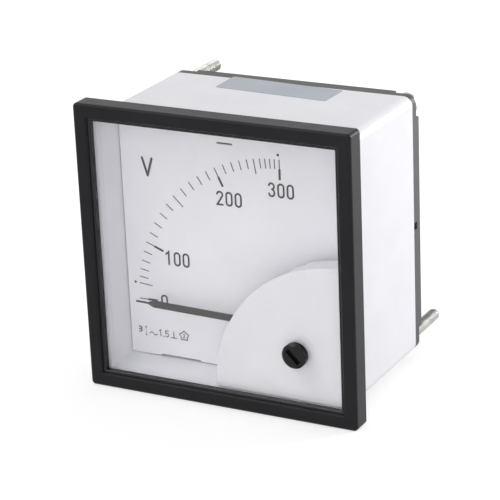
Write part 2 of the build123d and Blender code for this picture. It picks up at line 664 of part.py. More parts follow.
# Movement frame: disc on the coil with the damping chamber's walls, and two legs to the base
with BuildPart() as movement_frame:
    chamber_outer = BOBBIN_FLANGE - CHAMBER_WALL
    wall_turn = degrees(CHAMBER_WALL / CHAMBER_INNER)
    leg_places = [from_spindle(LEG_REACH, angle) for angle in (BRIDGE_ANGLE, LEG_ANGLE)]
    with BuildSketch(face_at(BOBBIN_FRONT)):
        with Locations(SPINDLE):
            Circle(BOBBIN_FLANGE)
        for angle in (BRIDGE_ANGLE, LEG_ANGLE):
            with Locations(spoke(0, LEG_REACH, angle)):
                Rectangle(LEG_REACH, 2 * LEG_RADIUS)
        with Locations(SPINDLE):
            Circle(SPINDLE_HOLE, mode=Mode.SUBTRACT)
    extrude(amount=CHAMBER_FLOOR)
    with BuildSketch(face_at(FLOOR_FRONT)):
        part_ring(CHAMBER_INNER, BOBBIN_FLANGE, CHAMBER_START_ANGLE - wall_turn, CHAMBER_SPAN_ANGLE + 2 * wall_turn)
    extrude(amount=CHAMBER_DEPTH)
    with BuildSketch(face_at(FLOOR_FRONT)):
        part_ring(CHAMBER_INNER - CHAMBER_WALL, chamber_outer, CHAMBER_START_ANGLE, CHAMBER_SPAN_ANGLE)
    extrude(amount=CHAMBER_DEPTH, mode=Mode.SUBTRACT)
    with BuildSketch(face_at(BOBBIN_BACK)):
        with Locations(*leg_places):
            Circle(LEG_RADIUS)
    extrude(amount=BOBBIN_BACK - FOOT_BACK)
    with BuildSketch(face_at(BOBBIN_BACK)):
        with Locations(*leg_places):
            Circle(SMALL_SCREW)
    extrude(amount=SMALL_SCREW_GRIP + LOOSE, mode=Mode.SUBTRACT)
    with BuildSketch(face_at(FOOT_BACK + SMALL_SCREW_GRIP + LOOSE)):
        with Locations(leg_places[0]):
            Circle(SMALL_SCREW)
    extrude(amount=SMALL_SCREW_GRIP + LOOSE, mode=Mode.SUBTRACT)

with BuildPart() as chamber_lid:
    with BuildSketch(face_at(CHAMBER_FRONT)):
        part_ring(CHAMBER_INNER, BOBBIN_FLANGE, CHAMBER_START_ANGLE - wall_turn, CHAMBER_SPAN_ANGLE + 2 * wall_turn)
    extrude(amount=LID_THICKNESS)

# Damping vane: thin blade on a sleeve, swinging inside the chamber
with BuildPart() as damping_vane:
    vane_end = chamber_outer - VANE_CLEAR
    vane_back = FLOOR_FRONT - VANE_CLEAR
    vane_front = CHAMBER_FRONT + VANE_CLEAR
    with BuildSketch(face_at(vane_back)):
        with Locations(SPINDLE):
            Circle(HUB_RADIUS)
        with Locations(spoke(0, vane_end, VANE_ANGLE)):
            Rectangle(vane_end, VANE_THICKNESS)
        with Locations(SPINDLE):
            Circle(SPINDLE_RADIUS, mode=Mode.SUBTRACT)
    extrude(amount=vane_back - vane_front)

# Field coil: flanged bobbin and its winding
with BuildPart() as coil_bobbin:
    tube_radius = BOBBIN_BORE + BOBBIN_WALL
    with BuildSketch(face_at(BOBBIN_BACK)):
        with Locations(SPINDLE):
            Circle(tube_radius)
    extrude(amount=BOBBIN_LENGTH)
    for flange_back in (BOBBIN_FRONT + BOBBIN_FLANGE_THICKNESS, BOBBIN_BACK):
        with BuildSketch(face_at(flange_back)):
            with Locations(SPINDLE):
                Circle(BOBBIN_FLANGE)
        extrude(amount=BOBBIN_FLANGE_THICKNESS)
    with BuildSketch(face_at(BOBBIN_BACK)):
        with Locations(SPINDLE):
            Circle(BOBBIN_BORE)
    extrude(amount=BOBBIN_LENGTH, mode=Mode.SUBTRACT)

with BuildPart() as coil_winding:
    with BuildSketch(face_at(BOBBIN_BACK - BOBBIN_FLANGE_THICKNESS)):
        with Locations(SPINDLE):
            Circle(BOBBIN_FLANGE - WINDING_MARGIN)
            Circle(tube_radius, mode=Mode.SUBTRACT)
    extrude(amount=BOBBIN_LENGTH - 2 * BOBBIN_FLANGE_THICKNESS)

# Irons: a curved strip fixed in the bore and another on the spindle beside it, which with the
# weights balances the pointer
with BuildPart() as fixed_iron:
    fixed_inner = BOBBIN_BORE - SEAT - IRON_THICKNESS
    with BuildSketch(face_at(BOBBIN_BACK - IRON_MARGIN)):
        part_ring(fixed_inner, BOBBIN_BORE - SEAT, FIXED_IRON_START_ANGLE, FIXED_IRON_SPAN_ANGLE)
    extrude(amount=BOBBIN_LENGTH - 2 * IRON_MARGIN)

with BuildPart() as moving_iron:
    moving_outer = fixed_inner - MOVING_IRON_GAP
    moving_inner = moving_outer - MOVING_IRON_THICKNESS
    moving_back = (BOBBIN_FRONT + BOBBIN_BACK + MOVING_IRON_LENGTH) / 2
    moving_start = MOVING_IRON_ANGLE - MOVING_IRON_SPAN_ANGLE / 2
    with BuildSketch(face_at(moving_back)):
        part_ring(moving_inner, moving_outer, moving_start, MOVING_IRON_SPAN_ANGLE)
        with Locations(SPINDLE):
            Circle(IRON_HUB)
        with Locations(spoke(0, moving_outer, MOVING_IRON_ANGLE)):
            Rectangle(moving_outer, MOVING_IRON_THICKNESS)
        with Locations(SPINDLE):
            Circle(SPINDLE_RADIUS, mode=Mode.SUBTRACT)
    extrude(amount=MOVING_IRON_LENGTH)

# Rear bearing: threaded jewel screw through the base, with its lock nut
with BuildPart() as rear_bearing:
    rear_cup_floor = rear_tip + PIVOT_END_PLAY
    rear_end = BASE_BACK + REAR_NUT_HEIGHT
    with BuildSketch(depth_plane(SPINDLE)):
        with BuildLine():
            Polyline(
                (cup_radius, REAR_BEARING_FRONT),
                (BEARING_FLANGE, REAR_BEARING_FRONT),
                (BEARING_FLANGE, rear_end),
                (0, rear_end),
                (0, rear_cup_floor),
                (PIVOT_TIP + SLIP, rear_cup_floor),
                close=True,
            )
        make_face()
    revolve(axis=SPINDLE_AXIS)

with BuildPart() as rear_bearing_nut:
    with BuildSketch(face_at(rear_end)):
        with Locations(SPINDLE):
            RegularPolygon(REAR_NUT, 6)
            Circle(BEARING_FLANGE, mode=Mode.SUBTRACT)
    extrude(amount=REAR_NUT_HEIGHT)

# Movement base: plate behind the coil, screwed to the frame's legs and the cover's pillars,
# with one corner cut clear of the case's post
with BuildPart() as movement_base:
    with BuildSketch(face_at(BASE_BACK)):
        with Locations(((PILLAR_LEFT + PILLAR_RIGHT) / 2, (PILLAR_LOW + PILLAR_TOP) / 2)):
            base_width = PILLAR_RIGHT - PILLAR_LEFT + 2 * PILLAR_INSET
            base_height = PILLAR_TOP - PILLAR_LOW + 2 * PILLAR_INSET
            RectangleRounded(base_width, base_height, PILLAR_INSET)
        with Locations(SPINDLE):
            Circle(BEARING_FLANGE, mode=Mode.SUBTRACT)
        with Locations(*leg_places, *PILLARS):
            Circle(SMALL_SCREW + SLIP, mode=Mode.SUBTRACT)
        with Locations((POST_AT, -POST_AT)):
            Rectangle(POST_SIZE + 2 * LOOSE, POST_SIZE + 2 * LOOSE, mode=Mode.SUBTRACT)
    extrude(amount=BASE_THICKNESS)

with BuildPart() as frame_screws:
    with BuildSketch(face_at(BASE_BACK + SMALL_SCREW_HEAD_HEIGHT)):
        with Locations(*leg_places):
            Circle(SMALL_SCREW_HEAD)
    extrude(amount=SMALL_SCREW_HEAD_HEIGHT)
    with BuildSketch(face_at(BASE_BACK)):
        with Locations(*leg_places):
            Circle(SMALL_SCREW)
    extrude(amount=BASE_THICKNESS + SMALL_SCREW_GRIP)

with BuildPart() as base_screws:
    with BuildSketch(face_at(BOBBIN_BACK)):
        with Locations(*PILLARS):
            Circle(SMALL_SCREW_HEAD)
    extrude(amount=SMALL_SCREW_HEAD_HEIGHT)
    with BuildSketch(face_at(BASE_BACK + SMALL_SCREW_GRIP)):
        with Locations(*PILLARS):
            Circle(SMALL_SCREW)
    extrude(amount=BASE_THICKNESS + SMALL_SCREW_GRIP)

# Rear cover: rim flush with the case, notched plateau, spigot, pillars and resistor saddles
with BuildPart() as rear_cover:
    plateau_short = CASE_SIZE - 2 * COVER_NOTCH
    spigot_front = CASE_END - SPIGOT_DEPTH
    post_edge = CAVITY_HALF + CASE_WALL / 2 - POST_SIZE
    spigot_length = 2 * (post_edge - SLIP)
    with BuildSketch(face_at(RIM_BACK)):
        RectangleRounded(CASE_SIZE, CASE_SIZE, CASE_CORNER)
    extrude(amount=COVER_RIM)
    with BuildSketch(face_at(COVER_BACK)):
        Rectangle(CASE_SIZE, plateau_short)
        Rectangle(plateau_short, CASE_SIZE)
    extrude(amount=COVER_STEP)
    with BuildSketch(face_at(CASE_END)):
        with PolarLocations(SPIGOT_SIZE / 2 - SPIGOT_WALL / 2, 4):
            Rectangle(SPIGOT_WALL, spigot_length)
    extrude(amount=SPIGOT_DEPTH)
    with BuildSketch(face_at(COVER_INSIDE)):
        Rectangle(spigot_length, SPIGOT_SIZE - 2 * SPIGOT_WALL)
        Rectangle(SPIGOT_SIZE - 2 * SPIGOT_WALL, spigot_length)
    extrude(amount=COVER_INSIDE - CASE_END, mode=Mode.SUBTRACT)
    with BuildSketch(face_at(COVER_INSIDE)):
        with Locations(*PILLARS):
            Circle(PILLAR_RADIUS)
    extrude(amount=COVER_INSIDE - BASE_BACK)
    with BuildSketch(face_at(BASE_BACK + SMALL_SCREW_GRIP + LOOSE)):
        with Locations(*PILLARS):
            Circle(SMALL_SCREW)
    extrude(amount=SMALL_SCREW_GRIP + LOOSE, mode=Mode.SUBTRACT)
    with BuildSketch(face_at(COVER_INSIDE)):
        with Locations((0, RESISTOR_Z)):
            with GridLocations(SADDLE_PITCH, 1, 2, 1):
                Rectangle(SADDLE_THICKNESS, 2 * (RESISTOR_RADIUS + SADDLE_WALL))
    extrude(amount=RESISTOR_OFF_COVER)
    with BuildSketch(Plane.YZ.offset(-RESISTOR_LENGTH / 2)):
        with Locations((RESISTOR_Y, RESISTOR_Z)):
            Circle(RESISTOR_RADIUS + SEAT)
    extrude(amount=RESISTOR_LENGTH, mode=Mode.SUBTRACT)
    with BuildSketch(face_at(COVER_BACK + TERMINAL_BOSS_HEIGHT)):
        with Locations(*TERMINALS):
            Circle(TERMINAL_BOSS)
    extrude(amount=TERMINAL_BOSS_HEIGHT)
    with BuildSketch(face_at(COVER_BACK + TERMINAL_BOSS_HEIGHT)):
        with Locations(*TERMINALS):
            Circle(TERMINAL_RADIUS + SLIP)
    extrude(amount=COVER_WALL + TERMINAL_BOSS_HEIGHT, mode=Mode.SUBTRACT)
    with BuildSketch(face_at(RIM_BACK)):
        with GridLocations(2 * STUD_AT, 2 * STUD_AT, 2, 2):
            Circle(STUD_CORE + SLIP)
    extrude(amount=COVER_RIM, mode=Mode.SUBTRACT)
    with BuildSketch(face_at(CASE_END + PRY_SIZE)):
        with GridLocations(CASE_SIZE, 1, 2, 1):
            Rectangle(2 * PRY_DEPTH, PRY_SIZE)
    extrude(amount=PRY_SIZE, mode=Mode.SUBTRACT)

# Clamp studs: shouldered, screwed into two corner posts through the cover
with BuildPart() as clamp_studs:
    for corner_place in STUD_CORNERS:
        tip_y = RIM_BACK + STUD_LENGTH
        tip_bevel = STUD_RADIUS - STUD_CORE
        with BuildSketch(depth_plane(corner_place)):
            with BuildLine():
                Polyline(
                    (0, CASE_END - STUD_GRIP),
                    (STUD_CORE, CASE_END - STUD_GRIP),
                    (STUD_CORE, RIM_BACK),
                    (STUD_RADIUS, RIM_BACK),
                    (STUD_RADIUS, tip_y - tip_bevel),
                    (STUD_CORE, tip_y),
                    (0, tip_y),
                    close=True,
                )
            make_face()
        revolve(axis=Axis((corner_place[0], 0, corner_place[1]), (0, 1, 0)))

# Cover screws: pan heads seated in the other two notches
with BuildPart() as cover_screws:
    for corner_place in SCREW_CORNERS:
        head_top = RIM_BACK + SCREW_HEAD_HEIGHT
        shoulder_y = head_top - SCREW_DOME
        with BuildSketch(depth_plane(corner_place)):
            with BuildLine():
                Polyline(
                    (0, head_top),
                    (0, CASE_END - STUD_GRIP),
                    (STUD_CORE, CASE_END - STUD_GRIP),
                    (STUD_CORE, RIM_BACK),
                    (SCREW_HEAD_RADIUS, RIM_BACK),
                    (SCREW_HEAD_RADIUS, shoulder_y),
                )
                TangentArc((0, head_top), (SCREW_HEAD_RADIUS, shoulder_y), tangent=(1, 0))
            make_face()
        revolve(axis=Axis((corner_place[0], 0, corner_place[1]), (0, 1, 0)))

# Terminals: hex-headed studs with solder tags inside, washers and nuts outside
boss_back = COVER_BACK + TERMINAL_BOSS_HEIGHT
washer_back = boss_back + WASHER_THICKNESS
nut_back = washer_back + NUT_HEIGHT
clamp_washer_back = nut_back + WASHER_THICKNESS
clamp_nut_back = clamp_washer_back + NUT_HEIGHT
tag_front = COVER_INSIDE - TAG_THICKNESS
terminal_end = boss_back + TERMINAL_LENGTH

with BuildPart() as terminal_studs:
    with BuildSketch(face_at(tag_front)):
        with Locations(*TERMINALS):
            RegularPolygon(HEX_ACROSS / 2, 6, major_radius=False)
    extrude(amount=HEX_HEAD_HEIGHT)
    with BuildSketch(face_at(terminal_end)):
        with Locations(*TERMINALS):
            Circle(TERMINAL_RADIUS)
    extrude(amount=terminal_end - tag_front)
    with BuildSketch(face_at(clamp_nut_back + LOOSE)):
        with Locations(*TERMINALS):
            Circle(TERMINAL_RADIUS)
            Circle(TERMINAL_RADIUS - TERMINAL_RELIEF, mode=Mode.SUBTRACT)
    extrude(amount=RELIEF_LENGTH, mode=Mode.SUBTRACT)
    chamfer(terminal_studs.edges().group_by(Axis.Y)[-1], TERMINAL_RELIEF)

with BuildPart() as terminal_washers:
    with BuildSketch(face_at(washer_back)):
        with Locations(*TERMINALS):
            Circle(WASHER_RADIUS)
            Circle(TERMINAL_RADIUS + SLIP, mode=Mode.SUBTRACT)
    extrude(amount=WASHER_THICKNESS)

with BuildPart() as terminal_nuts:
    with BuildSketch(face_at(nut_back)):
        with Locations(*TERMINALS):
            RegularPolygon(HEX_ACROSS / 2, 6, major_radius=False)
            Circle(TERMINAL_RADIUS, mode=Mode.SUBTRACT)
    extrude(amount=NUT_HEIGHT)
    chamfer(terminal_nuts.edges().group_by(Axis.Y)[-1], NUT_BEVEL)

with BuildPart() as clamp_washers:
    with BuildSketch(face_at(clamp_washer_back)):
        with Locations(*TERMINALS):
            Circle(WASHER_RADIUS)
            Circle(TERMINAL_RADIUS + SLIP, mode=Mode.SUBTRACT)
    extrude(amount=WASHER_THICKNESS)

with BuildPart() as clamp_nuts:
    with BuildSketch(face_at(clamp_nut_back)):
        with Locations(*TERMINALS):
            RegularPolygon(HEX_ACROSS / 2, 6, major_radius=False)
            Circle(TERMINAL_RADIUS, mode=Mode.SUBTRACT)
    extrude(amount=NUT_HEIGHT)
    chamfer(clamp_nuts.edges().group_by(Axis.Y)[-1], NUT_BEVEL)

# Wire places: both resistor ends, the tag tails under them and two spots on the winding
wire_right = RESISTOR_LENGTH / 2 + WIRE_OUT
left_tail = (TERMINALS[0][0] - TAG_RADIUS - TAG_WIDTH, RESISTOR_Z)
right_tail = (TERMINALS[1][0] + TAG_RADIUS + TAG_WIDTH, TERMINAL_Z + TAG_WIDTH)
winding_radius = BOBBIN_FLANGE - WINDING_MARGIN
winding_top = SPINDLE[1] + winding_radius + SEAT
winding_middle = (BOBBIN_FRONT + BOBBIN_BACK) / 2

with BuildPart() as terminal_tags:
    with BuildSketch(face_at(COVER_INSIDE)):
        for place, tail in zip(TERMINALS, (left_tail, right_tail)):
            run = Vector(*tail) - Vector(*place)
            middle = Vector(*place) + run / 2
            turn = degrees(atan2(run.Y, run.X))
            with Locations(place):
                Circle(TAG_RADIUS)
            with Locations(Location((middle.X, middle.Y, 0), (0, 0, turn))):
                SlotOverall(run.length + TAG_WIDTH, TAG_WIDTH)
            with Locations(place):
                Circle(TERMINAL_RADIUS + SLIP, mode=Mode.SUBTRACT)
    extrude(amount=TAG_THICKNESS)

# Series resistor: round body lying in the cover's saddles
with BuildPart() as series_resistor:
    with BuildSketch(Plane.YZ.offset(-RESISTOR_LENGTH / 2)):
        with Locations((RESISTOR_Y, RESISTOR_Z)):
            Circle(RESISTOR_RADIUS)
    extrude(amount=RESISTOR_LENGTH)
    chamfer(series_resistor.faces().filter_by(Axis.X).edges(), RESISTOR_EDGE)

# Wires: terminal to resistor, resistor to coil, coil to the other terminal
with BuildPart() as terminal_lead:
    with BuildLine() as terminal_route:
        FilletPolyline(
            (-RESISTOR_LENGTH / 2, RESISTOR_Y, RESISTOR_Z),
            (left_tail[0], RESISTOR_Y, RESISTOR_Z),
            (left_tail[0], tag_front, RESISTOR_Z),
            radius=WIRE_BEND,
        )
    with BuildSketch(Plane.YZ.offset(-RESISTOR_LENGTH / 2)):
        with Locations((RESISTOR_Y, RESISTOR_Z)):
            Circle(WIRE_RADIUS)
    sweep(path=terminal_route.line)

with BuildPart() as resistor_lead:
    with BuildLine() as resistor_route:
        FilletPolyline(
            (RESISTOR_LENGTH / 2, RESISTOR_Y, RESISTOR_Z),
            (wire_right, RESISTOR_Y, RESISTOR_Z),
            (SPINDLE[0], winding_middle, winding_top + WIRE_OUT),
            (SPINDLE[0], winding_middle, winding_top),
            radius=WIRE_BEND,
        )
    with BuildSketch(Plane.YZ.offset(RESISTOR_LENGTH / 2)):
        with Locations((RESISTOR_Y, RESISTOR_Z)):
            Circle(WIRE_RADIUS)
    sweep(path=resistor_route.line)

with BuildPart() as coil_lead:
    coil_end_y = winding_middle - WIRE_OUT
    with BuildLine() as coil_route:
        FilletPolyline(
            (SPINDLE[0], coil_end_y, winding_top),
            (SPINDLE[0], coil_end_y, winding_top + WIRE_OUT),
            (right_tail[0], coil_end_y + WIRE_OUT, right_tail[1]),
            (right_tail[0], tag_front, right_tail[1]),
            radius=WIRE_BEND,
        )
    with BuildSketch(Plane.XY.offset(winding_top)):
        with Locations((SPINDLE[0], coil_end_y)):
            Circle(WIRE_RADIUS)
    sweep(path=coil_route.line)

# One file for each piece, named after it
PIECES = {
    "bezel": bezel,
    "window_glass": window_glass,
    "case_body": case_body,
    "rear_cover": rear_cover,
    "clamp_studs": clamp_studs,
    "cover_screws": cover_screws,
    "dial_plate": dial_plate,
    "movement_mask": movement_mask,
    "zero_adjuster": zero_adjuster,
    "zero_lever": zero_lever,
    "hairspring": hairspring,
    "pointer": pointer,
    "pointer_hub": pointer_hub,
    "balance_weights": balance_weights,
    "spindle": spindle,
    "front_bearing": front_bearing,
    "bearing_nut": bearing_nut,
    "front_bridge": front_bridge,
    "bridge_screw": bridge_screw,
    "movement_frame": movement_frame,
    "chamber_lid": chamber_lid,
    "damping_vane": damping_vane,
    "coil_bobbin": coil_bobbin,
    "coil_winding": coil_winding,
    "fixed_iron": fixed_iron,
    "moving_iron": moving_iron,
    "rear_bearing": rear_bearing,
    "rear_bearing_nut": rear_bearing_nut,
    "movement_base": movement_base,
    "frame_screws": frame_screws,
    "base_screws": base_screws,
    "series_resistor": series_resistor,
    "terminal_lead": terminal_lead,
    "resistor_lead": resistor_lead,
    "coil_lead": coil_lead,
    "terminal_studs": terminal_studs,
    "terminal_tags": terminal_tags,
    "terminal_washers": terminal_washers,
    "terminal_nuts": terminal_nuts,
    "clamp_washers": clamp_washers,
    "clamp_nuts": clamp_nuts,
}
os.makedirs("parts", exist_ok=True)
for name, piece in PIECES.items():
    piece.part.label = name
    export_step(piece.part, f"parts/{name}.step")
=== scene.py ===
"""Looks of a square analog panel meter: finishes, dial print, threads, seal, label and studio."""

import json
import math

import bmesh
import bpy
from mathutils import Matrix, Vector


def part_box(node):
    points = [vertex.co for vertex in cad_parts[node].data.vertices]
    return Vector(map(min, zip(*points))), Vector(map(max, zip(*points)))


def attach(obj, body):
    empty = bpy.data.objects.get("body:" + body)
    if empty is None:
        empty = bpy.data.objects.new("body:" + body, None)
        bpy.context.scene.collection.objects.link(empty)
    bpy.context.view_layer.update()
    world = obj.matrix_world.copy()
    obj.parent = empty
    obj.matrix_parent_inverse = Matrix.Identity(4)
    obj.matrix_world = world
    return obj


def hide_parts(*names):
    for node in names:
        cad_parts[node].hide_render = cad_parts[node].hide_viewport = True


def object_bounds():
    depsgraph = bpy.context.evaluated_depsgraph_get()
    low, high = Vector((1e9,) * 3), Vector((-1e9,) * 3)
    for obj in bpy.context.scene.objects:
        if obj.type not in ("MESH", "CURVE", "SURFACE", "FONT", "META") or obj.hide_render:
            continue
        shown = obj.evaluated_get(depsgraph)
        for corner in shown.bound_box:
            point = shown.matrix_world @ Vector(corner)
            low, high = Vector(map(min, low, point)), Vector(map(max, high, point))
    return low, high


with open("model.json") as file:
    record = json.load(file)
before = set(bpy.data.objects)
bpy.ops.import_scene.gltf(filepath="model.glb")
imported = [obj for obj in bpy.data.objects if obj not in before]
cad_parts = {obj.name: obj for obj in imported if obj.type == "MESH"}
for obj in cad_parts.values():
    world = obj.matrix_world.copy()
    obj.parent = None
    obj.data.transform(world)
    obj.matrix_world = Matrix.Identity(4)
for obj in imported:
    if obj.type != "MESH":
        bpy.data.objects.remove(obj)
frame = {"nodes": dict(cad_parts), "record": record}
cad_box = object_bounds()
nodes = frame["nodes"]

MM = 0.001

# Camera, solved from the bezel's edges: place, lens and sensor in mm, turns in degrees, and
# the distance in metres from which it sees
CAMERA_PLACE = (233.67, -417.87, 180.9)
CAMERA_YAW = -28.468
CAMERA_PITCH = 20.486
CAMERA_ROLL = 2.446
CAMERA_LENS = 157.05
SENSOR_WIDTH = 36.0
CLIP_START = 0.01

# Dial print, in mm as the dial is read
PIVOT = (11.9, -16.1)
SCALE_RADIUS = 39.89
MINOR_LENGTH = 2.37
MEDIUM_LENGTH = 3.67
MAJOR_LENGTH = 5.0
TICK_WIDTH = 0.24
MAJOR_WIDTH = 0.56
DOT_OUT = 1.1
DOT_RADIUS = 0.34
DOT_VALUES = (50, 298)
SCALE_ANGLES = {0: -0.7, 50: 5.2, 100: 21.5, 150: 43.5, 200: 64.2, 250: 80.2, 300: 90.0}
SCALE_STEP = 50
DIGIT_SIZE = (1.9, 3.65)
DIGIT_GAP = 0.55
DIGIT_STROKE = 0.45
NUMBER_PLACES = {
    "0": (-21.0, -16.5),
    "100": (-16.8, -4.85),
    "200": (-1.76, 12.4),
    "300": (12.1, 16.17),
}
UNIT_PLACE = (-23.7, 17.92)
UNIT_SIZE = (3.25, 4.95)
UNIT_STROKE = 0.6
PRINT_LIFT = 0.012
LIFT_STEP = 0.002

# Row of small signs under the scale, in mm; heights are over the row's base
SIGN_BASE = -25.9
SIGN_STROKE = 0.2
COIL_X = -28.69
COIL_BUMPS = (0.8, 1.5)
COIL_REACH = 0.75
COIL_RISE = 0.35
COIL_STROKE = 0.25
IRON_X = -26.7
IRON_ENDS = (-0.13, 1.89)
IRON_STROKE = 0.06
IRON_DOT = 0.21
WAVE_START = (-25.68, 0.42)
WAVE_LENGTH = 2.1
WAVE_RISE = 0.35
CLASS_PLACE = (-21.75, 0.9)
CLASS_SIZE = (1.0, 1.8)
CLASS_GAP = 0.32
UPRIGHT_X = -18.93
UPRIGHT_ENDS = (0.1, 1.7)
UPRIGHT_FOOT = (-19.7, -18.15)
STAR_PLACE = (-16.0, 1.1)
STAR_TIP = 1.35
STAR_NOTCH = 0.95
STAR_DIGIT_SIZE = (0.6, 1.05)
STAR_DIGIT_STROKE = 0.14

# Threads and screw heads, in mm
STUD_RADIUS = 1.5
STUD_CORE = 1.25
STUD_PITCH = 0.5
STUD_BEVEL = 0.5
TERMINAL_RADIUS = 2.0
TERMINAL_CORE = 1.68
TERMINAL_PITCH = 0.7
TERMINAL_BEVEL = 0.6
HEX_ACROSS = 7.0
RADIUS_SLACK = 0.02
SCREW_RADIUS = 2.75
CROSS_REACH = 1.55
CROSS_WIDTH = 0.75
CROSS_DEPTH = 1.0

# How finely they are drawn, the ridge's form as shares of its depth, and the dome's step in degrees
ROUND_SIDES = 32
RINGS_PER_PITCH = 8
RIDGE_HEIGHT = 1.35
RIDGE_SLOPE = 3.2
DOME_STEP = 10

# Thin seal in the corner between the bezel's lip and the window, in mm
WINDOW_HALF = 32.5
SEAL_WIDTH = 0.7
SEAL_DEPTH = 1.4
SEAL_EDGE = 0.15

# Blank label on the top of the case, in mm
CASE_TOP = 32.7
LABEL_CORNERS = [(-15.7, 28.0), (14.8, 26.4), (15.0, 35.6), (-15.75, 37.55)]
LABEL_THICKNESS = 0.08
LABEL_ROUNDING = 0.6

# Studio: strengths, and for each lamp its place and target in metres, size in metres and power
FLOOR_SIZE = 8.0
FLOOR_GREY = (0.6, 0.6, 0.6)
FLOOR_GLOW = 0.55
SKY_LIGHT = 0.53
LAMPS = {
    "right_softbox": ((0.34, 0.38, 0.14), (0.15, 0.2, -0.036), 0.2, 1.95),
    "top_softbox": ((-0.45, -0.35, 0.85), (0, 0, 0), 0.6, 2.6),
    "front_softbox": ((0.3, -1.1, 0.35), (0, 0, 0), 0.7, 2.2),
}


# Materials


def new_surface(name, colour, roughness, **sockets):
    """A material with a plain Principled shader; what varies is linked in later."""
    material = bpy.data.materials.new(name)
    material.use_nodes = True
    shader = material.node_tree.nodes["Principled BSDF"]
    shader.inputs["Base Color"].default_value = (*colour, 1.0)
    shader.inputs["Roughness"].default_value = roughness
    for socket, value in sockets.items():
        shader.inputs[socket.replace("_", " ")].default_value = value
    return material


def add_node(material, kind, **inputs):
    """A new node in the material's tree with its named inputs set."""
    node = material.node_tree.nodes.new(kind)
    for socket, value in inputs.items():
        node.inputs[socket.replace("_", " ")].default_value = value
    return node


def noise(material, grain, detail=2.0, stretch=(1, 1, 1)):
    """Noise fixed to the part, with spots about grain mm across, drawn out by stretch."""
    links = material.node_tree.links
    place = add_node(material, "ShaderNodeTexCoord")
    mapping = add_node(material, "ShaderNodeMapping")
    mapping.inputs["Scale"].default_value = [1 / (grain * MM * s) for s in stretch]
    texture = add_node(material, "ShaderNodeTexNoise", Scale=1.0, Detail=detail)
    links.new(place.outputs["Object"], mapping.inputs["Vector"])
    links.new(mapping.outputs["Vector"], texture.inputs["Vector"])
    return texture.outputs["Fac"]


def vary_colour(material, pattern, dark, light):
    """The base colour runs from dark to light with the pattern."""
    ramp = add_node(material, "ShaderNodeValToRGB")
    ramp.color_ramp.elements[0].position = 0.3
    ramp.color_ramp.elements[0].color = (*dark, 1.0)
    ramp.color_ramp.elements[1].position = 0.7
    ramp.color_ramp.elements[1].color = (*light, 1.0)
    shader = material.node_tree.nodes["Principled BSDF"]
    material.node_tree.links.new(pattern, ramp.inputs["Fac"])
    material.node_tree.links.new(ramp.outputs["Color"], shader.inputs["Base Color"])


def vary_roughness(material, pattern, low, high):
    """The roughness runs from low to high with the pattern."""
    span = add_node(material, "ShaderNodeMapRange", To_Min=low, To_Max=high)
    shader = material.node_tree.nodes["Principled BSDF"]
    material.node_tree.links.new(pattern, span.inputs["Value"])
    material.node_tree.links.new(span.outputs["Result"], shader.inputs["Roughness"])


def emboss(material, pattern, depth, strength):
    """The pattern stands depth mm out of the surface."""
    bump = add_node(material, "ShaderNodeBump", Strength=strength, Distance=depth * MM)
    shader = material.node_tree.nodes["Principled BSDF"]
    material.node_tree.links.new(pattern, bump.inputs["Height"])
    material.node_tree.links.new(bump.outputs["Normal"], shader.inputs["Normal"])


def moulded(name, dark, light, roughness, texture_depth=0.004, **sockets):
    """Moulded plastic: faint clouds in the colour, a fine eroded texture and uneven gloss."""
    material = new_surface(name, light, roughness, **sockets)
    clouds = noise(material, grain=9.0, detail=3.0)
    vary_colour(material, clouds, dark, light)
    gloss = noise(material, grain=3.0, detail=4.0)
    vary_roughness(material, gloss, roughness - 0.06, roughness + 0.06)
    emboss(material, noise(material, grain=0.16), texture_depth, strength=0.5)
    return material


def metal(name, dark, light, roughness, stretch=(1, 1, 1), grain=0.5):
    """Metal with a drawn or tumbled grain and a slightly uneven colour."""
    material = new_surface(name, light, roughness, Metallic=1.0)
    tarnish = noise(material, grain=2.5, detail=3.0)
    vary_colour(material, tarnish, dark, light)
    drawn = noise(material, grain, detail=3.0, stretch=stretch)
    vary_roughness(material, drawn, roughness - 0.08, roughness + 0.1)
    emboss(material, noise(material, grain=0.2, stretch=stretch), depth=0.003, strength=0.3)
    return material


def lacquered(name, dark, light, roughness, **sockets):
    """Matt lacquer on sheet metal, with a fine orange-peel surface."""
    material = new_surface(name, light, roughness, **sockets)
    vary_colour(material, noise(material, grain=12.0), dark, light)
    gloss = noise(material, grain=1.2, detail=3.0)
    vary_roughness(material, gloss, roughness - 0.05, roughness + 0.05)
    emboss(material, noise(material, grain=0.4, detail=1.0), depth=0.002, strength=0.3)
    return material


def clear_glass():
    """Float glass with faint wiping marks; light from the lamps passes straight through it."""
    material = new_surface("clear_glass", (1.0, 1.0, 1.0), 0.0, Transmission_Weight=1.0, IOR=1.45)
    wiping = noise(material, grain=14.0, detail=3.0, stretch=(3, 1, 1))
    vary_roughness(material, wiping, 0.0, 0.03)
    tree = material.node_tree
    ray = add_node(material, "ShaderNodeLightPath")
    clear = add_node(material, "ShaderNodeBsdfTransparent")
    mix = add_node(material, "ShaderNodeMixShader")
    tree.links.new(ray.outputs["Is Shadow Ray"], mix.inputs["Fac"])
    tree.links.new(tree.nodes["Principled BSDF"].outputs["BSDF"], mix.inputs[1])
    tree.links.new(clear.outputs["BSDF"], mix.inputs[2])
    tree.links.new(mix.outputs["Shader"], tree.nodes["Material Output"].inputs["Surface"])
    return material


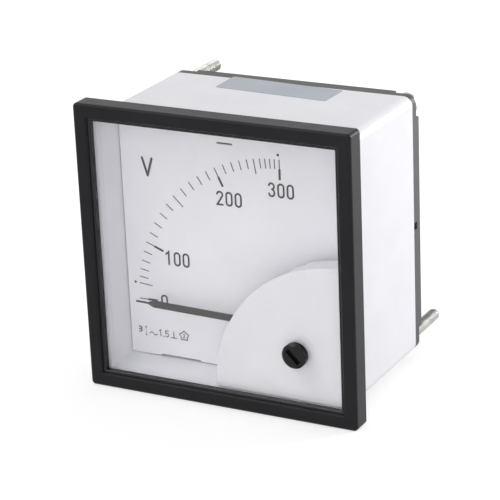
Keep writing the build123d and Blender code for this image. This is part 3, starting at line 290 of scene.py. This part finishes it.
finishes = {
    "bezel_black": moulded("bezel_black", (0.0145, 0.014, 0.0175), (0.0185, 0.018, 0.0215), 0.34,
                           Specular_IOR_Level=0.14),
    "seal_black": moulded("seal_black", (0.01, 0.0097, 0.012), (0.013, 0.0127, 0.015), 0.22, 0.001,
                          Specular_IOR_Level=0.3),
    "clear_glass": clear_glass(),
    "case_white": moulded("case_white", (0.765, 0.762, 0.808), (0.8, 0.797, 0.843), 0.45),
    "cover_grey": moulded("cover_grey", (0.036, 0.036, 0.038), (0.046, 0.046, 0.048), 0.45),
    "zinc_steel": metal("zinc_steel", (0.41, 0.41, 0.38), (0.57, 0.57, 0.53), 0.3),
    "dial_white": lacquered("dial_white", (0.8, 0.795, 0.84), (0.83, 0.825, 0.87), 0.55),
    "mask_white": moulded("mask_white", (0.72, 0.715, 0.76), (0.76, 0.755, 0.795), 0.5, 0.002),
    "adjuster_black": moulded("adjuster_black", (0.004, 0.004, 0.005), (0.006, 0.006, 0.007), 0.2,
                              0.001, Specular_IOR_Level=0.25),
    "brass_sheet": metal("brass_sheet", (0.62, 0.52, 0.32), (0.75, 0.66, 0.45), 0.32),
    "spring_bronze": metal("spring_bronze", (0.5, 0.3, 0.15), (0.62, 0.42, 0.22), 0.3),
    "pointer_grey": lacquered("pointer_grey", (0.026, 0.026, 0.029), (0.034, 0.034, 0.037), 0.5,
                              Specular_IOR_Level=0.2),
    "turned_brass": metal("turned_brass", (0.64, 0.54, 0.34), (0.78, 0.69, 0.48), 0.26),
    "polished_steel": metal("polished_steel", (0.55, 0.55, 0.55), (0.65, 0.65, 0.65), 0.16),
    "pressed_steel": metal("pressed_steel", (0.42, 0.42, 0.42), (0.52, 0.52, 0.52), 0.38),
    "frame_nylon": moulded("frame_nylon", (0.56, 0.54, 0.46), (0.64, 0.62, 0.54), 0.5),
    "bare_aluminium": metal("bare_aluminium", (0.68, 0.68, 0.69), (0.78, 0.78, 0.79), 0.3),
    "copper_winding": metal("copper_winding", (0.42, 0.15, 0.05), (0.6, 0.26, 0.1), 0.3,
                            (1, 0.1, 1), 0.4),
    "soft_iron": metal("soft_iron", (0.26, 0.26, 0.27), (0.36, 0.36, 0.37), 0.42),
    "resistor_body": moulded("resistor_body", (0.09, 0.17, 0.12), (0.13, 0.23, 0.17), 0.25),
    "lead_insulation": moulded("lead_insulation", (0.3, 0.02, 0.02), (0.37, 0.035, 0.035), 0.5),
    "ink": lacquered("ink", (0.02, 0.02, 0.022), (0.03, 0.03, 0.033), 0.6, Specular_IOR_Level=0.2),
    "label_film": lacquered("label_film", (0.345, 0.375, 0.433), (0.38, 0.41, 0.468), 0.35),
}

for row in frame["record"]["subparts"]:
    mesh = nodes[row["node"]].data
    mesh.materials.clear()
    mesh.materials.append(finishes[row["material_slot"]])


def add_piece(name, bm, finish, body="housing"):
    """A new piece from the drawn mesh, with its finish, riding on its body."""
    mesh = bpy.data.meshes.new(name)
    bm.to_mesh(mesh)
    bm.free()
    mesh.materials.append(finishes[finish])
    piece = bpy.data.objects.new(name, mesh)
    bpy.context.scene.collection.objects.link(piece)
    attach(piece, body)
    return piece


# Dial print: strokes are flat ribbons with round ends, each a hair in front of the last


class Print:
    """Ink on the dial. Points are x and z in mm as the dial is read."""

    def __init__(self, depth):
        self.bm = bmesh.new()
        self.depth = depth
        self.lift = PRINT_LIFT

    def vertex(self, x, z):
        return self.bm.verts.new((x * MM, self.depth - self.lift * MM, z * MM))

    def polygon(self, points):
        """A filled outline, given anticlockwise as the dial is read."""
        self.bm.faces.new([self.vertex(x, z) for x, z in points])
        self.lift += LIFT_STEP

    def dot(self, place, radius):
        self.polygon(arc(place, radius, radius, 0, 360, 20)[:-1])

    def stroke(self, points, width, closed=False):
        """A ribbon along the points, with a round cap at each end unless it is closed."""
        spots = [Vector(p) for p in points]
        count = len(spots)
        left = []
        right = []
        for i, spot in enumerate(spots):
            before = spots[i - 1] if closed or i else spot
            after = spots[(i + 1) % count] if closed or i < count - 1 else spot
            ahead = (after - spot).normalized() if after != spot else (spot - before).normalized()
            behind = (spot - before).normalized() if before != spot else ahead
            along = (ahead + behind).normalized()
            out = Vector((-along.y, along.x)) * width / 2 / max(along.dot(ahead), 0.3)
            left.append(self.vertex(*(spot + out)))
            right.append(self.vertex(*(spot - out)))
        for i in range(count if closed else count - 1):
            j = (i + 1) % count
            self.bm.faces.new((left[i], right[i], right[j], left[j]))
        if not closed:
            self.cap(spots[0], spots[0] - spots[1], right[0], left[0], width)
            self.cap(spots[-1], spots[-1] - spots[-2], left[-1], right[-1], width)
        self.lift += LIFT_STEP

    def cap(self, spot, outward, first, last, width):
        """Half a disc past the end of a stroke."""
        middle = math.degrees(math.atan2(outward.y, outward.x))
        turn = arc(spot, width / 2, width / 2, middle + 90, middle - 90, 8)[1:-1]
        self.bm.faces.new([first, *(self.vertex(*p) for p in turn), last])


def arc(centre, across, up, start, end, count=14):
    """Points on an ellipse from one angle to another, in degrees."""
    angles = [math.radians(start + (end - start) * i / count) for i in range(count + 1)]
    return [(centre[0] + across * math.cos(a), centre[1] + up * math.sin(a)) for a in angles]


def glyph_strokes(sign, wide, high):
    """Stroke lines of one narrow upright character, its lower left corner at the origin."""
    mid = wide / 2
    if sign == "0":
        top = arc((mid, high - mid), mid, mid, 0, 180)
        low = arc((mid, mid), mid, mid, 180, 360)
        return [(top + low, True)]
    if sign == "1":
        return [([(0.1 * wide, 0.8 * high), (0.6 * wide, high), (0.6 * wide, 0)], False)]
    if sign == "2":
        hook = arc((mid, high - mid), mid, mid, 170, -25)
        return [(hook + [(0, 0), (wide, 0)], False)]
    if sign == "3":
        small = 0.23 * high
        large = 0.27 * high
        upper = arc((mid, high - small), 0.94 * mid, small, 165, -80)
        lower = arc((mid, large), mid, large, 80, -165)
        return [(upper, False), (lower, False)]
    if sign == "5":
        bowl = arc((mid, 0.3 * high), mid, 0.3 * high, 125, -150)
        return [([(wide, high), (0.12 * wide, high), (0.04 * wide, 0.55 * high)] + bowl, False)]
    if sign == "V":
        return [([(0, high), (mid, 0)], False), ([(mid, 0), (wide, high)], False)]
    raise ValueError(sign)


def write(page, text, centre, digit, gap, width):
    """Characters in a row about their centre; digit is the full width and height of one."""
    widths = [width if sign == "." else digit[0] for sign in text]
    x = centre[0] - (sum(widths) + gap * (len(text) - 1)) / 2
    half = width / 2
    low = centre[1] - digit[1] / 2
    for sign, wide in zip(text, widths):
        if sign == ".":
            page.dot((x + wide / 2, low + wide / 2), 0.85 * wide)
        else:
            for line, closed in glyph_strokes(sign, wide - width, digit[1] - width):
                page.stroke([(x + half + px, low + half + pz) for px, pz in line], width, closed)
        x += wide + gap


def scale_angle(value):
    """Degrees from the zero mark, smooth through the named scale angles."""
    marks = sorted(SCALE_ANGLES)
    first = min(value // SCALE_STEP * SCALE_STEP, marks[-1] - SCALE_STEP)
    second = first + SCALE_STEP
    slopes = []
    for mark in (first, second):
        low = max(mark - SCALE_STEP, marks[0])
        high = min(mark + SCALE_STEP, marks[-1])
        slopes.append((SCALE_ANGLES[high] - SCALE_ANGLES[low]) / (high - low) * SCALE_STEP)
    t = (value - first) / SCALE_STEP
    rise = SCALE_ANGLES[second] - SCALE_ANGLES[first]
    bend = t * (1 - t) ** 2 * slopes[0] - t**2 * (1 - t) * slopes[1]
    return SCALE_ANGLES[first] + rise * t**2 * (3 - 2 * t) + bend


def on_dial(radius, value):
    """A point on the dial at a radius, on the line of a value."""
    angle = math.radians(180 - scale_angle(value))
    return (PIVOT[0] + radius * math.cos(angle), PIVOT[1] + radius * math.sin(angle))


def bar(page, start, end, width):
    """A square-ended tick."""
    near = Vector(start)
    far = Vector(end)
    along = (far - near).normalized()
    out = Vector((-along.y, along.x)) * width / 2
    page.polygon([near + out, near - out, far - out, far + out])


page = Print(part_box("dial_plate")[0].y)
thin_end = SCALE_RADIUS - MINOR_LENGTH
medium_end = SCALE_RADIUS - MEDIUM_LENGTH
thick_end = SCALE_RADIUS - MAJOR_LENGTH
for value in [0] + list(range(50, 301, 10)):
    if value % 100 == 0:
        bar(page, on_dial(thin_end, value), on_dial(thick_end, value), MAJOR_WIDTH)
    inner = medium_end if value % 100 == 50 else thin_end
    bar(page, on_dial(SCALE_RADIUS, value), on_dial(inner, value), TICK_WIDTH)
for value in DOT_VALUES:
    page.dot(on_dial(SCALE_RADIUS + DOT_OUT, value), DOT_RADIUS)

for number, place in NUMBER_PLACES.items():
    write(page, number, place, DIGIT_SIZE, DIGIT_GAP, DIGIT_STROKE)
write(page, "V", UNIT_PLACE, UNIT_SIZE, 0, UNIT_STROKE)


def on_row(x, height):
    """A point of the row of signs."""
    return (x, SIGN_BASE + height)


# Signs: coil with its iron, alternating current, accuracy class, upright use, test voltage star
for bump in COIL_BUMPS:
    page.stroke(arc(on_row(COIL_X, bump), COIL_REACH, COIL_RISE, -90, 90, 8), COIL_STROKE)
iron = [on_row(IRON_X, height) for height in IRON_ENDS]
page.stroke(iron, IRON_STROKE)
for end in iron:
    page.dot(end, IRON_DOT)
wave = []
for i in range(13):
    height = WAVE_START[1] + WAVE_RISE * math.sin(math.tau * i / 12)
    wave.append(on_row(WAVE_START[0] + WAVE_LENGTH * i / 12, height))
page.stroke(wave, SIGN_STROKE)
write(page, "1.5", on_row(*CLASS_PLACE), CLASS_SIZE, CLASS_GAP, SIGN_STROKE)
page.stroke([on_row(x, UPRIGHT_ENDS[0]) for x in UPRIGHT_FOOT], SIGN_STROKE)
page.stroke([on_row(UPRIGHT_X, height) for height in UPRIGHT_ENDS], SIGN_STROKE)
star = []
for corner in range(10):
    reach = STAR_TIP if corner % 2 == 0 else STAR_NOTCH
    star += arc(on_row(*STAR_PLACE), reach, reach, 90 + 36 * corner, 90, 1)[:1]
page.stroke(star, SIGN_STROKE, closed=True)
write(page, "2", on_row(*STAR_PLACE), STAR_DIGIT_SIZE, 0, STAR_DIGIT_STROKE)
add_piece("dial_print", page.bm, "ink")


# Turned pieces


def ring(bm, place, y, radius, count):
    """A ring of vertices about an axis along Y; radius is a number or a function of the turn."""
    verts = []
    for i in range(count):
        turn = i / count
        r = radius(turn) if callable(radius) else radius
        angle = math.tau * turn
        spot = (place[0] + r * math.cos(angle), y, place[1] + r * math.sin(angle))
        verts.append(bm.verts.new([c * MM for c in spot]))
    return verts


def skin(bm, rings, smooth=True):
    """Faces between rings that run along +Y, with both ends closed."""
    count = len(rings[0])
    for low, high in zip(rings, rings[1:]):
        for i in range(count):
            j = (i + 1) % count
            face = bm.faces.new((low[i], high[i], high[j], low[j]))
            face.smooth = smooth
    bm.faces.new(rings[0])
    bm.faces.new(rings[-1][::-1])


def thread(bm, place, start, end, crest, core, pitch, bevel):
    """A threaded rod along +Y: one helical ridge that fades out over the bevel at the tip."""
    rings = []
    lines = int((end - start) / pitch * RINGS_PER_PITCH) + 1
    for line in range(lines + 1):
        y = start + (end - start) * line / lines
        rim = min(crest, core + (end - y) / bevel * (crest - core))

        def radius(turn, y=y, rim=rim):
            phase = (y / pitch - turn) % 1
            ridge = min(1.0, max(0.0, RIDGE_HEIGHT - abs(phase - 0.5) * RIDGE_SLOPE))
            return core + (rim - core) * ridge

        rings.append(ring(bm, place, y, radius, ROUND_SIDES))
    skin(bm, rings)


def lathe(bm, place, profile, count=ROUND_SIDES, smooth=True):
    """A turned shape from (y, radius) pairs that run along +Y."""
    skin(bm, [ring(bm, place, y, r, count) for y, r in profile], smooth)


def span_at(node, place, radius):
    """First and last place along Y, in mm, where a turned solid of a node has the radius."""
    edges = []
    for vertex in nodes[node].data.vertices:
        spot = nodes[node].matrix_world @ vertex.co / MM
        if abs(math.dist((spot.x, spot.z), place) - radius) < RADIUS_SLACK:
            edges.append(spot.y)
    return min(edges), max(edges)


low, high = (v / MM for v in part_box("clamp_studs"))
bm = bmesh.new()
upper_left = (low.x + STUD_RADIUS, high.z - STUD_RADIUS)
lower_right = (high.x - STUD_RADIUS, low.z + STUD_RADIUS)
for place in (upper_left, lower_right):
    start = span_at("clamp_studs", place, STUD_RADIUS)[0]
    thread(bm, place, start, high.y, STUD_RADIUS, STUD_CORE, STUD_PITCH, STUD_BEVEL)
    lathe(bm, place, [(low.y, STUD_CORE), (start, STUD_CORE)])
studs = add_piece("threaded_studs", bm, "zinc_steel")
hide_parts("clamp_studs")

low, high = (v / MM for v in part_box("terminal_studs"))
cover_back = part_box("terminal_washers")[0].y / MM
hex_corner = HEX_ACROSS / 2 / math.cos(math.pi / 6)
bm = bmesh.new()
for mount in frame["record"]["mounts"]:
    if mount["kind"] != "pin":
        continue
    place = (mount["pos_m"][0] / MM, mount["pos_m"][2] / MM)
    start = span_at("terminal_studs", place, TERMINAL_RADIUS)[0]
    lathe(bm, place, [(low.y, hex_corner), (start, hex_corner)], 6, smooth=False)
    lathe(bm, place, [(start, TERMINAL_RADIUS), (cover_back, TERMINAL_RADIUS)])
    thread(bm, place, cover_back, high.y, TERMINAL_RADIUS, TERMINAL_CORE, TERMINAL_PITCH,
           TERMINAL_BEVEL)
terminals = add_piece("threaded_terminals", bm, "turned_brass")
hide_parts("terminal_studs")


def prism(bm, outline, start, end):
    """An outline of x and z, anticlockwise as the dial is read, drawn out along +Y; all in mm."""
    rings = []
    for y in (start, end):
        rings.append([bm.verts.new((x * MM, y * MM, z * MM)) for x, z in outline])
    skin(bm, rings, smooth=False)


low, high = (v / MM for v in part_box("cover_screws"))
bm = bmesh.new()
tool = bmesh.new()
half = CROSS_WIDTH / 2
arm_tips = ((half, -half), (CROSS_REACH, -half), (CROSS_REACH, half))
upper_right = (high.x - SCREW_RADIUS, high.z - SCREW_RADIUS)
lower_left = (low.x + SCREW_RADIUS, low.z + SCREW_RADIUS)
for place in (upper_right, lower_left):
    seat, shoulder = span_at("cover_screws", place, SCREW_RADIUS)
    dome_height = high.y - shoulder
    dome = [(low.y, STUD_CORE), (seat, STUD_CORE), (seat, SCREW_RADIUS)]
    for angle in range(0, 90, DOME_STEP):
        tall = dome_height * math.sin(math.radians(angle))
        dome.append((shoulder + tall, SCREW_RADIUS * math.sqrt(1 - tall / dome_height)))
    lathe(bm, place, dome, smooth=False)
    cross = []
    for arm in range(4):
        turn = Matrix.Rotation(math.radians(90 * arm), 2)
        cross += [Vector(place) + turn @ Vector(tip) for tip in arm_tips]
    prism(tool, cross, high.y - CROSS_DEPTH, high.y + CROSS_DEPTH)
screws = add_piece("recessed_screws", bm, "zinc_steel")
recess = bpy.data.meshes.new("cross_recess")
tool.to_mesh(recess)
tool.free()
cutter = bpy.data.objects.new("cross_recess", recess)
bpy.context.scene.collection.objects.link(cutter)
cut = screws.modifiers.new("cross", "BOOLEAN")
cut.operation = "DIFFERENCE"
cut.object = cutter
bpy.context.view_layer.update()
cut_screws = screws.evaluated_get(bpy.context.evaluated_depsgraph_get())
screws.data = bpy.data.meshes.new_from_object(cut_screws)
screws.modifiers.clear()
bpy.data.objects.remove(cutter)
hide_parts("cover_screws")


# Window seal: a square ring on the glass, against the lip on all four sides

glass_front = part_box("window_glass")[0].y / MM
seal_front = glass_front - SEAL_DEPTH
section = [
    (0, seal_front),
    (SEAL_WIDTH - SEAL_EDGE, seal_front),
    (SEAL_WIDTH, seal_front + SEAL_EDGE),
    (SEAL_WIDTH, glass_front),
    (0, glass_front),
]
bm = bmesh.new()
squares = []
for inward, y in section:
    half = WINDOW_HALF - inward
    corners = ((-half, -half), (half, -half), (half, half), (-half, half))
    squares.append([bm.verts.new((x * MM, y * MM, z * MM)) for x, z in corners])
for i, square in enumerate(squares):
    following = squares[(i + 1) % len(squares)]
    for k in range(4):
        bm.faces.new((square[k], square[(k + 1) % 4], following[(k + 1) % 4], following[k]))
bmesh.ops.recalc_face_normals(bm, faces=bm.faces)
add_piece("window_seal", bm, "seal_black")


# Blank label


def rounded(corners, radius, count=6):
    """The outline of corners given anticlockwise, with each corner rounded."""
    spots = [Vector(c) for c in corners]
    outline = []
    for i, spot in enumerate(spots):
        into = (spots[i - 1] - spot).normalized() * radius
        away = (spots[(i + 1) % len(spots)] - spot).normalized() * radius
        for k in range(count + 1):
            t = k / count
            outline.append(spot + into * (1 - t) ** 2 + away * t**2)
    return outline


bm = bmesh.new()
outline = rounded(LABEL_CORNERS, LABEL_ROUNDING)
label_top = CASE_TOP + LABEL_THICKNESS
low = [bm.verts.new((p.x * MM, p.y * MM, CASE_TOP * MM)) for p in outline]
high = [bm.verts.new((p.x * MM, p.y * MM, label_top * MM)) for p in outline]
for i in range(len(outline)):
    j = (i + 1) % len(outline)
    bm.faces.new((low[i], low[j], high[j], high[i]))
bm.faces.new(high)
add_piece("blank_label", bm, "label_film")


# Studio: a pale floor that stays white to the eye and keeps a soft shadow, lamps and camera


def backdrop_ray(tree):
    """Socket that is 1 for rays that show the background: straight, reflected or through glass."""
    path = tree.nodes.new("ShaderNodeLightPath")
    total = path.outputs["Is Camera Ray"]
    for name in ("Is Glossy Ray", "Is Transmission Ray"):
        larger = tree.nodes.new("ShaderNodeMath")
        larger.operation = "MAXIMUM"
        tree.links.new(total, larger.inputs[0])
        tree.links.new(path.outputs[name], larger.inputs[1])
        total = larger.outputs["Value"]
    return total


floor_paint = new_surface("floor_paint", FLOOR_GREY, 0.9)
tree = floor_paint.node_tree
glow = add_node(floor_paint, "ShaderNodeEmission")
both = add_node(floor_paint, "ShaderNodeAddShader")
strength = add_node(floor_paint, "ShaderNodeMath")
strength.operation = "MULTIPLY"
strength.inputs[1].default_value = FLOOR_GLOW
tree.links.new(backdrop_ray(tree), strength.inputs[0])
tree.links.new(strength.outputs["Value"], glow.inputs["Strength"])
tree.links.new(tree.nodes["Principled BSDF"].outputs["BSDF"], both.inputs[0])
tree.links.new(glow.outputs["Emission"], both.inputs[1])
tree.links.new(both.outputs["Shader"], tree.nodes["Material Output"].inputs["Surface"])
bpy.ops.mesh.primitive_plane_add(size=FLOOR_SIZE, location=(0, 0, cad_box[0][2]))
floor = bpy.context.object
floor.name = "floor"
floor.data.materials.append(floor_paint)

world = bpy.data.worlds.new("studio")
bpy.context.scene.world = world
world.use_nodes = True
tree = world.node_tree
sky = tree.nodes["Background"]
blend = tree.nodes.new("ShaderNodeMapRange")
blend.inputs["To Min"].default_value = SKY_LIGHT
blend.inputs["To Max"].default_value = 1.0
tree.links.new(backdrop_ray(tree), blend.inputs["Value"])
tree.links.new(blend.outputs["Result"], sky.inputs["Strength"])
sky.inputs["Color"].default_value = (1.0, 1.0, 1.0, 1.0)


def add_lamp(name, place, target, size, power):
    """A square soft lamp that faces a point; places in metres."""
    light = bpy.data.lights.new(name, "AREA")
    light.shape = "SQUARE"
    light.size = size
    light.energy = power
    lamp = bpy.data.objects.new(name, light)
    lamp.location = place
    lamp.rotation_euler = (Vector(target) - Vector(place)).to_track_quat("-Z", "Y").to_euler()
    bpy.context.scene.collection.objects.link(lamp)


for lamp_name, values in LAMPS.items():
    add_lamp(lamp_name, *values)

camera_data = bpy.data.cameras.new("camera")
camera_data.lens = CAMERA_LENS
camera_data.sensor_width = SENSOR_WIDTH
camera_data.sensor_fit = "HORIZONTAL"
camera_data.clip_start = CLIP_START
camera = bpy.data.objects.new("camera", camera_data)
turn = Matrix.Rotation(math.radians(-CAMERA_ROLL), 4, "Y")
turn = turn @ Matrix.Rotation(math.radians(CAMERA_PITCH), 4, "X")
turn = turn @ Matrix.Rotation(math.radians(CAMERA_YAW), 4, "Z")
place = Matrix.Translation([c * MM for c in CAMERA_PLACE])
camera.matrix_world = place @ turn.transposed() @ Matrix.Rotation(math.radians(90), 4, "X")
bpy.context.scene.collection.objects.link(camera)
bpy.context.scene.camera = camera
bpy.context.scene.view_settings.view_transform = "Standard"
